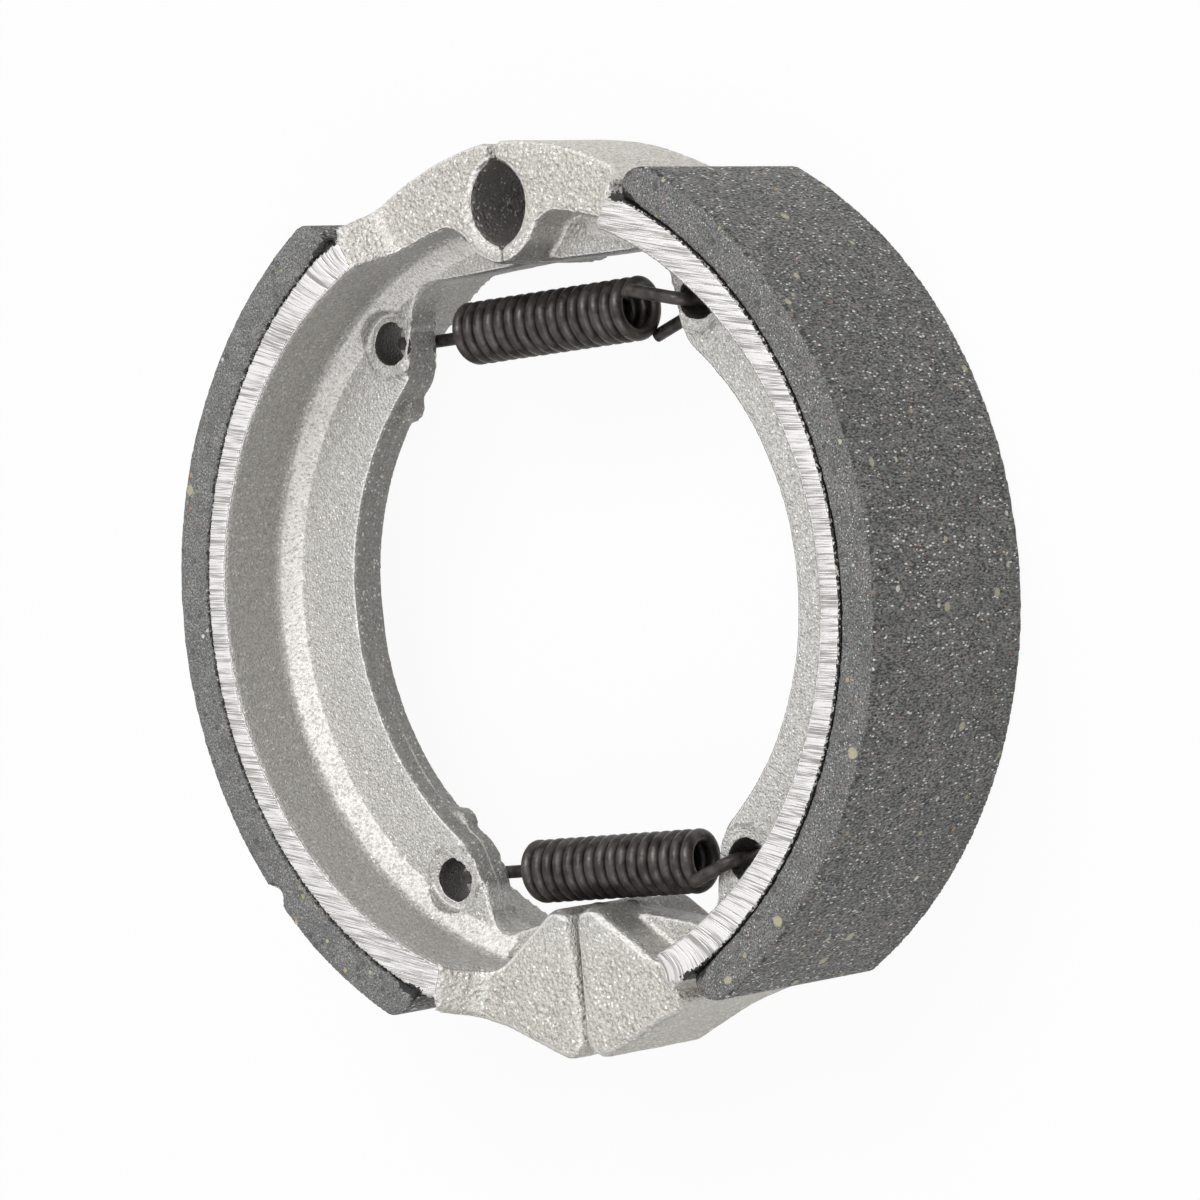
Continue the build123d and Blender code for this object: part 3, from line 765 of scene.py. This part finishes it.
def skin_group():
    """Grain and slow swell pushed along the normals, with ground faces left nearly flat."""
    inputs = {
        "Grain size": number(SKIN_GRAIN),
        "Grain height": number(SKIN_GRAIN_HEIGHT),
        "Swell size": number(SKIN_SWELL),
        "Swell height": number(SKIN_SWELL_HEIGHT),
        "Front": number(FRONT),
        "Ground band": number(GROUND_BAND),
        "Ground share": number(SKIN_GROUND_SHARE),
        "Seed": number(0.0),
        "Finish": ("NodeSocketMaterial", None),
    }
    tree, given, out = geometry_group("rough skin", inputs)
    place = tree.nodes.new("GeometryNodeInputPosition").outputs[0]
    heights = []
    for kind in ("Grain", "Swell"):
        scale = maths(tree, "DIVIDE", 1.0, given[kind + " size"])
        values = {"Vector": place, "W": given["Seed"], "Scale": scale, "Detail": 3.0}
        cloud = add(tree, "ShaderNodeTexNoise", values, noise_dimensions="4D").outputs[0]
        heights.append(maths(tree, "MULTIPLY", maths(tree, "SUBTRACT", cloud, 0.5), given[kind + " height"]))
    half = maths(tree, "MULTIPLY", given["Front"], 0.5)
    reach = maths(tree, "ABSOLUTE", maths(tree, "SUBTRACT", parts_of(tree, place)[2], half))
    ground = maths(tree, "GREATER_THAN", reach, maths(tree, "SUBTRACT", half, given["Ground band"]))
    keep = inverse(tree, maths(tree, "MULTIPLY", ground, inverse(tree, given["Ground share"])))
    push = maths(tree, "MULTIPLY", maths(tree, "ADD", *heights), maths(tree, "MULTIPLY", keep, 2.0))
    pushed_and_dressed(tree, given, out, given["Geometry"], push)
    return tree


def with_nodes(obj, tree, values):
    """A geometry node modifier on an object, its inputs set by their identifiers."""
    made = obj.modifiers.new(tree.name, "NODES")
    made.node_group = tree
    for item in tree.interface.items_tree:
        if item.item_type == "SOCKET" and item.in_out == "INPUT" and item.name in values:
            made[item.identifier] = values[item.name]


def even_copy(node, voxel):
    """A copy of a node's mesh, closed and meshed evenly."""
    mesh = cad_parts[node].data.copy()
    shape = bmesh.new()
    shape.from_mesh(mesh)
    bmesh.ops.remove_doubles(shape, verts=shape.verts, dist=0.002 * MM)
    shape.to_mesh(mesh)
    shape.free()
    mesh.materials.clear()
    obj = bpy.data.objects.new(node + "_even", mesh)
    bpy.context.scene.collection.objects.link(obj)
    remesh = obj.modifiers.new("even", "REMESH")
    remesh.mode = "VOXEL"
    remesh.voxel_size = voxel
    return obj


def shoe_place(spot, side):
    """Radius and angle of a point about the centre of the shoe's own arcs."""
    across = side * spot.x + ARC_SHIFT
    return Vector((across, spot.y)).length, atan2(spot.y, across) * 180 / pi + SHOE_TURN


def seamed(piece, side):
    """Raises the mould's parting line along the inner edge of a shoe's web."""
    for v in piece.data.vertices:
        off = abs(v.co.z - WEB_MIDDLE)
        if off > PARTING_WIDTH:
            continue
        radius = shoe_place(v.co, side)[0]
        if radius > WEB_INNER + PARTING_REACH or abs(v.normal.z) > 0.5:
            continue
        uneven = 0.6 + 0.8 * noise.noise(v.co / PARTING_WAVE)
        v.co += v.normal * PARTING_HEIGHT * max(0.0, uneven) * (1 - (off / PARTING_WIDTH) ** 2)


def edge_filled(piece, side):
    """Brings the rim's outer corners out to the ground planes, right up to the bond."""
    for v in piece.data.vertices:
        if abs(v.co.z - FRONT / 2) < FRONT / 2 - BEVEL_REACH:
            continue
        radius, angle = shoe_place(v.co, side)
        if radius < RIM_OUTER - RIM_BEVEL - BEVEL_OVERLAP or abs(angle) > RIM_HALF_ANGLE:
            continue
        for plane, way in ((FRONT, 1), (0.0, -1)):
            depth = way * (plane - v.co.z)
            if depth < RIM_BEVEL:
                v.co.z = plane - way * max(0.0, depth) * BEVEL_LEFT / RIM_BEVEL
            elif depth < BEVEL_REACH:
                share = (depth - RIM_BEVEL) / (BEVEL_REACH - RIM_BEVEL)
                v.co.z = plane - way * (BEVEL_LEFT + share * (BEVEL_REACH - BEVEL_LEFT))


def seats_shaped(piece, side):
    """Opens the spring holes away from their hooks and raises a lumpy boss round each."""
    widest = SEAT_RADIUS + BOSS_STEP
    for v in piece.data.vertices:
        for hole in SPRING_HOLES:
            if abs(v.co.y - hole.y) > widest or abs(side * v.co.x - hole.x) > widest:
                continue
            away = Vector((side * v.co.x, v.co.y)) - hole
            reach = away.length
            if reach > widest or reach < 0.5 * HOLE_RADIUS:
                continue
            outward = 0.5 + 0.5 * away.normalized().dot(hole.normalized())
            if abs(v.normal.z) > 0.4:
                lump = 0.8 + 0.7 * noise.noise(v.co / BOSS_LUMP)
                step = min(1.0, (widest - reach) / BOSS_STEP)
                rise = BOSS_HEIGHT * lump * step * (1 - 0.75 * outward)
                v.co.z += rise if v.normal.z > 0 else -rise
            share = min(1.0, max(0.0, (SEAT_RADIUS - reach) / (SEAT_RADIUS - HOLE_RADIUS)))
            push = away.normalized() * HOLE_OPENED * share * outward
            v.co.x += side * push.x
            v.co.y += push.y


def casting(node, body, side, skin, finish):
    """One shoe's casting with its sandy skin, parting line, ground edges and spring seats."""
    obj = even_copy(node, SKIN_VOXEL)
    with_nodes(obj, skin, {
        "Grain size": SKIN_GRAIN, "Grain height": SKIN_GRAIN_HEIGHT,
        "Swell size": SKIN_SWELL, "Swell height": SKIN_SWELL_HEIGHT,
        "Front": FRONT, "Ground band": GROUND_BAND, "Ground share": SKIN_GROUND_SHARE,
        "Seed": 1.0 + side, "Finish": finish,
    })
    piece = finished(obj, node + "_casting", finish)
    seamed(piece, side)
    edge_filled(piece, side)
    seats_shaped(piece, side)
    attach(piece, body)
    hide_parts(node)


def end_rounded(piece, side):
    """Rounds the lining's outer corner off at both ends, as far as the moulding has it."""
    for v in piece.data.vertices:
        radius, angle = shoe_place(v.co, side)
        to_end = radians(min(LINING_ANCHOR_ANGLE - angle, angle + LINING_CAM_ANGLE)) * radius
        into = max(0.0, LINING_END_ROUND - max(0.0, to_end))
        limit = DRUM_RADIUS - LINING_END_ROUND + (LINING_END_ROUND**2 - into**2) ** 0.5
        if radius > limit:
            keep = limit / radius
            v.co.x = side * ((side * v.co.x + ARC_SHIFT) * keep - ARC_SHIFT)
            v.co.y *= keep


def glue_line(piece, side):
    """Breaks the lining's edges beside the rim back to the glue, deepest at both ends."""
    for v in piece.data.vertices:
        if abs(v.co.z - FRONT / 2) < FRONT / 2 - GROOVE_REACH:
            continue
        radius, angle = shoe_place(v.co, side)
        to_end = min(LINING_ANCHOR_ANGLE - angle, angle + LINING_CAM_ANGLE)
        uneven = noise.noise(v.co / RAGGED_SIZE) + 0.6 * noise.noise(v.co / (0.4 * RAGGED_SIZE))
        near_end = max(0.0, 1 - to_end / GLUE_WEDGE_ANGLE) ** 1.5
        spread = max(GLUE_LEAST, GLUE_SPREAD * (1 + 0.9 * uneven) + GLUE_WEDGE * near_end)
        inward = (radius - RIM_OUTER) / spread
        for plane, way in ((FRONT, -1), (0.0, 1)):
            depth = abs(v.co.z - plane)
            if inward < 1 and depth < GROOVE_REACH:
                cut = GLUE_DEPTH * (1 - max(0.0, inward)) * (1 + 1.6 * near_end)
                v.co.z += way * cut * max(0.0, 1 - depth / GROOVE_REACH)


def chipped(piece):
    """Knocks a small piece off the outer front edge of the left lining."""
    for v in piece.data.vertices:
        away = (v.co - CHIP_CENTRE).length
        if away < CHIP_RADIUS:
            share = (1 - away / CHIP_RADIUS) ** 0.7
            uneven = 1 + 0.5 * noise.noise(v.co / CHIP_GRAIN)
            way = Vector((-v.co.x, -v.co.y, 0)).normalized() - Vector((0, 0, 0.8))
            v.co += way * CHIP_DEPTH * share * uneven


def lining(node, body, side, skin, finish):
    """One friction lining, grainy, rounded at its ends and broken back along its bond."""
    obj = even_copy(node, LINING_VOXEL)
    with_nodes(obj, skin, {
        "Grain size": LINING_GRAIN, "Grain height": LINING_GRAIN_HEIGHT,
        "Swell size": LINING_SWELL, "Swell height": LINING_SWELL_HEIGHT,
        "Front": FRONT, "Ground band": GROUND_BAND, "Ground share": LINING_GROUND_SHARE,
        "Seed": 5.0 + side, "Finish": finish,
    })
    piece = finished(obj, node + "_composite", finish)
    end_rounded(piece, side)
    glue_line(piece, side)
    if side < 0:
        chipped(piece)
    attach(piece, body)
    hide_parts(node)


def rounded(points, radius, steps=8):
    """A polyline with its inner corners rounded off."""
    made = [points[0]]
    for before, corner, after in zip(points, points[1:], points[2:]):
        a = (before - corner).normalized()
        b = (after - corner).normalized()
        half = a.angle(b) / 2
        reach = radius / (sin(half) / cos(half))
        centre = corner + (a + b).normalized() * (radius / sin(half))
        start = (corner + a * reach - centre).normalized()
        end = (corner + b * reach - centre).normalized()
        made += [centre + start.slerp(end, i / steps) * radius for i in range(steps + 1)]
    return made + [points[-1]]


def joined(start, start_way, end, end_way, steps=14):
    """Points of a smooth run between two places and directions, without its ends."""
    reach = (end - start).length
    made = []
    for i in range(1, steps):
        t = i / steps
        made.append(start * (2 * t**3 - 3 * t**2 + 1) + start_way * reach * (t**3 - 2 * t**2 + t)
                    + end * (3 * t**2 - 2 * t**3) + end_way * reach * (t**3 - t**2))
    return made


def wound_coil(centre, turns, side):
    """Points of a coil about a line across the pair, slightly uneven."""
    length = COIL_PITCH * turns
    count = int(turns * POINTS_PER_TURN)
    coil = []
    for i in range(count + 1):
        turn = 2 * pi * turns * i / count
        uneven = WIRE_WAVER * noise.noise(Vector((turn / 5, side, 0)))
        reach = COIL_RADIUS + uneven
        along = length * (i / count - 0.5) + uneven
        coil.append(centre + Vector((along, sin(turn) * reach, -cos(turn) * reach)))
    return coil


def wire_path(node, aside, turns, tail_gap, tail_drop, side):
    """Centre line of a return spring: left claw, coil, right hook and its tail."""
    low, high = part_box(node)
    hook_x = high.x - WIRE_RADIUS
    hook_y = (low.y + high.y) / 2
    coil = wound_coil(Vector((aside, hook_y, WEB_MIDDLE)), turns + (180 + COIL_LEAN * side) / 360, side)
    front, back = WEB_MIDDLE + LEG_HEIGHT, WEB_MIDDLE - LEG_HEIGHT
    out, root = coil[-1], coil[0]
    elbow = Vector((out.x + ELBOW_REACH, out.y, front))
    near = Vector((root.x - ELBOW_REACH, root.y, back))
    tail = Vector((out.x + tail_gap, hook_y + side * tail_drop, back))
    corners = [elbow, Vector((hook_x, hook_y, front)), Vector((hook_x, hook_y, back)), tail]
    hooked = rounded(corners, HOOK_ROUND)
    tip = Vector((-hook_x, hook_y, WEB_MIDDLE + WEB_HALF - TIP_SHORT))
    claw = rounded([tip, Vector((-hook_x, hook_y, back)), near], HOOK_ROUND)
    lead = joined(near, (claw[-1] - claw[-2]).normalized(), root, (coil[1] - coil[0]).normalized())
    bend = joined(out, (coil[-1] - coil[-2]).normalized(), elbow, (hooked[1] - hooked[0]).normalized())
    return claw + lead + coil + bend + hooked


def wire_group():
    """A wire swept along a path, its section slightly uneven."""
    inputs = {
        "Wire radius": number(WIRE_RADIUS),
        "Sides": ("NodeSocketInt", WIRE_SIDES),
        "Uneven share": number(WIRE_UNEVEN_SHARE),
        "Finish": ("NodeSocketMaterial", None),
    }
    tree, given, out = geometry_group("wound wire", inputs)
    place = tree.nodes.new("GeometryNodeInputPosition").outputs[0]
    ring = add(tree, "GeometryNodeCurvePrimitiveCircle", {
        "Resolution": given["Sides"], "Radius": given["Wire radius"]})
    swept = add(tree, "GeometryNodeCurveToMesh", {
        "Curve": given["Geometry"], "Profile Curve": ring.outputs["Curve"], "Fill Caps": True})
    values = {"Vector": place, "Scale": 1 / WIRE_UNEVEN_SIZE, "Detail": 2.0}
    cloud = add(tree, "ShaderNodeTexNoise", values).outputs[0]
    share = maths(tree, "MULTIPLY", maths(tree, "SUBTRACT", cloud, 0.5), given["Uneven share"])
    push = maths(tree, "MULTIPLY", share, given["Wire radius"])
    pushed_and_dressed(tree, given, out, swept.outputs[0], push)
    return tree


def spring(node, facts, wire, finish):
    """One return spring, a wire swept along its path between the shoes."""
    path = wire_path(node, **facts)
    curve = bpy.data.curves.new(node + "_path", "CURVE")
    curve.dimensions = "3D"
    line = curve.splines.new("POLY")
    line.points.add(len(path) - 1)
    for point, place in zip(line.points, path):
        point.co = (*place, 1)
    obj = bpy.data.objects.new(node + "_path", curve)
    bpy.context.scene.collection.objects.link(obj)
    with_nodes(obj, wire, {
        "Wire radius": WIRE_RADIUS, "Sides": WIRE_SIDES,
        "Uneven share": WIRE_UNEVEN_SHARE, "Finish": finish,
    })
    piece = finished(obj, node + "_wire", finish)
    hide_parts(node)
    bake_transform(piece)


def seen(tree):
    """1 where a surface is seen, by the camera or in a glossy or clear piece, and 0 where it only lights."""
    path = add(tree, "ShaderNodeLightPath").outputs
    direct = maths(tree, "MAXIMUM", path["Is Camera Ray"], path["Is Glossy Ray"])
    return maths(tree, "MAXIMUM", direct, path["Is Transmission Ray"])


def pale_floor():
    """A plain floor under the set, which looks nearly white and still takes shadows."""
    mesh = bpy.data.meshes.new("floor")
    corners = [(-1, -1), (1, -1), (1, 1), (-1, 1)]
    mesh.from_pydata([(x * FLOOR_HALF, y * FLOOR_HALF, -FLOOR_DROP) for x, y in corners], [], [(0, 1, 2, 3)])
    floor = bpy.data.objects.new("floor", mesh)
    bpy.context.scene.collection.objects.link(floor)
    paper = bpy.data.materials.new("pale_floor")
    paper.use_nodes = True
    tree = paper.node_tree
    shader = tree.nodes["Principled BSDF"]
    shader.inputs["Base Color"].default_value = FLOOR_GREY
    shader.inputs["Roughness"].default_value = 0.9
    glow = add(tree, "ShaderNodeEmission", {"Color": WHITE, "Strength": 1.0}).outputs[0]
    share = maths(tree, "MULTIPLY", seen(tree), FLOOR_GLOW)
    both = add(tree, "ShaderNodeMixShader", {0: share, 1: shader.outputs[0], 2: glow}).outputs[0]
    tree.links.new(both, tree.nodes["Material Output"].inputs["Surface"])
    mesh.materials.append(paper)


def surround():
    """A white surround, dimmer as a light than it looks."""
    world = bpy.data.worlds.new("surround")
    bpy.context.scene.world = world
    world.use_nodes = True
    tree = world.node_tree
    background = tree.nodes["Background"].inputs
    background["Color"].default_value = WHITE
    tree.links.new(share_plus(tree, seen(tree), SURROUND_SEEN, SURROUND_LIGHT), background["Strength"])


def soft_boxes():
    """The lamps, each turned to the middle of the set."""
    for name, (place, size, power) in LAMPS.items():
        data = bpy.data.lights.new(name, "AREA")
        data.size = size
        data.energy = power
        lamp = bpy.data.objects.new(name, data)
        lamp.location = place
        lamp.rotation_mode = "QUATERNION"
        lamp.rotation_quaternion = (Vector((0, 0, WEB_MIDDLE)) - Vector(place)).to_track_quat("-Z", "Y")
        bpy.context.scene.collection.objects.link(lamp)


def camera():
    """The photograph's viewpoint."""
    data = bpy.data.cameras.new("camera")
    data.lens = CAMERA_LENS
    data.sensor_width = CAMERA_SENSOR
    data.clip_start = CAMERA_NEAREST
    obj = bpy.data.objects.new("camera", data)
    bpy.context.scene.collection.objects.link(obj)
    back = CAMERA_BACK.normalized()
    right = (CAMERA_RIGHT - back * CAMERA_RIGHT.dot(back)).normalized()
    up = back.cross(right)
    place = Vector((0, 0, FRONT)) + back * CAMERA_DISTANCE + right * CAMERA_ASIDE - up * CAMERA_DROP
    obj.matrix_world = Matrix.Translation(place) @ Matrix((right, up, back)).transposed().to_4x4()
    bpy.context.scene.camera = obj


camera()
bpy.context.scene.view_settings.view_transform = "Standard"
pale_floor()
surround()
soft_boxes()
effects = {"mottle": mottle_effect(), "speckle": speckle_effect(), "pitting": pitting_effect(),
           "bond": bond_effect()}
cast_finish = casting_material(effects)
composite_finish = lining_material(effects)
wire_finish = spring_material(effects)
skin = skin_group()
wire = wire_group()
for side, body in ((-1, "left"), (1, "right")):
    casting(body + "_shoe", body, side, skin, cast_finish)
    lining(body + "_lining", body, side, skin, composite_finish)
for node, facts in SPRINGS.items():
    spring(node, facts, wire, wire_finish)
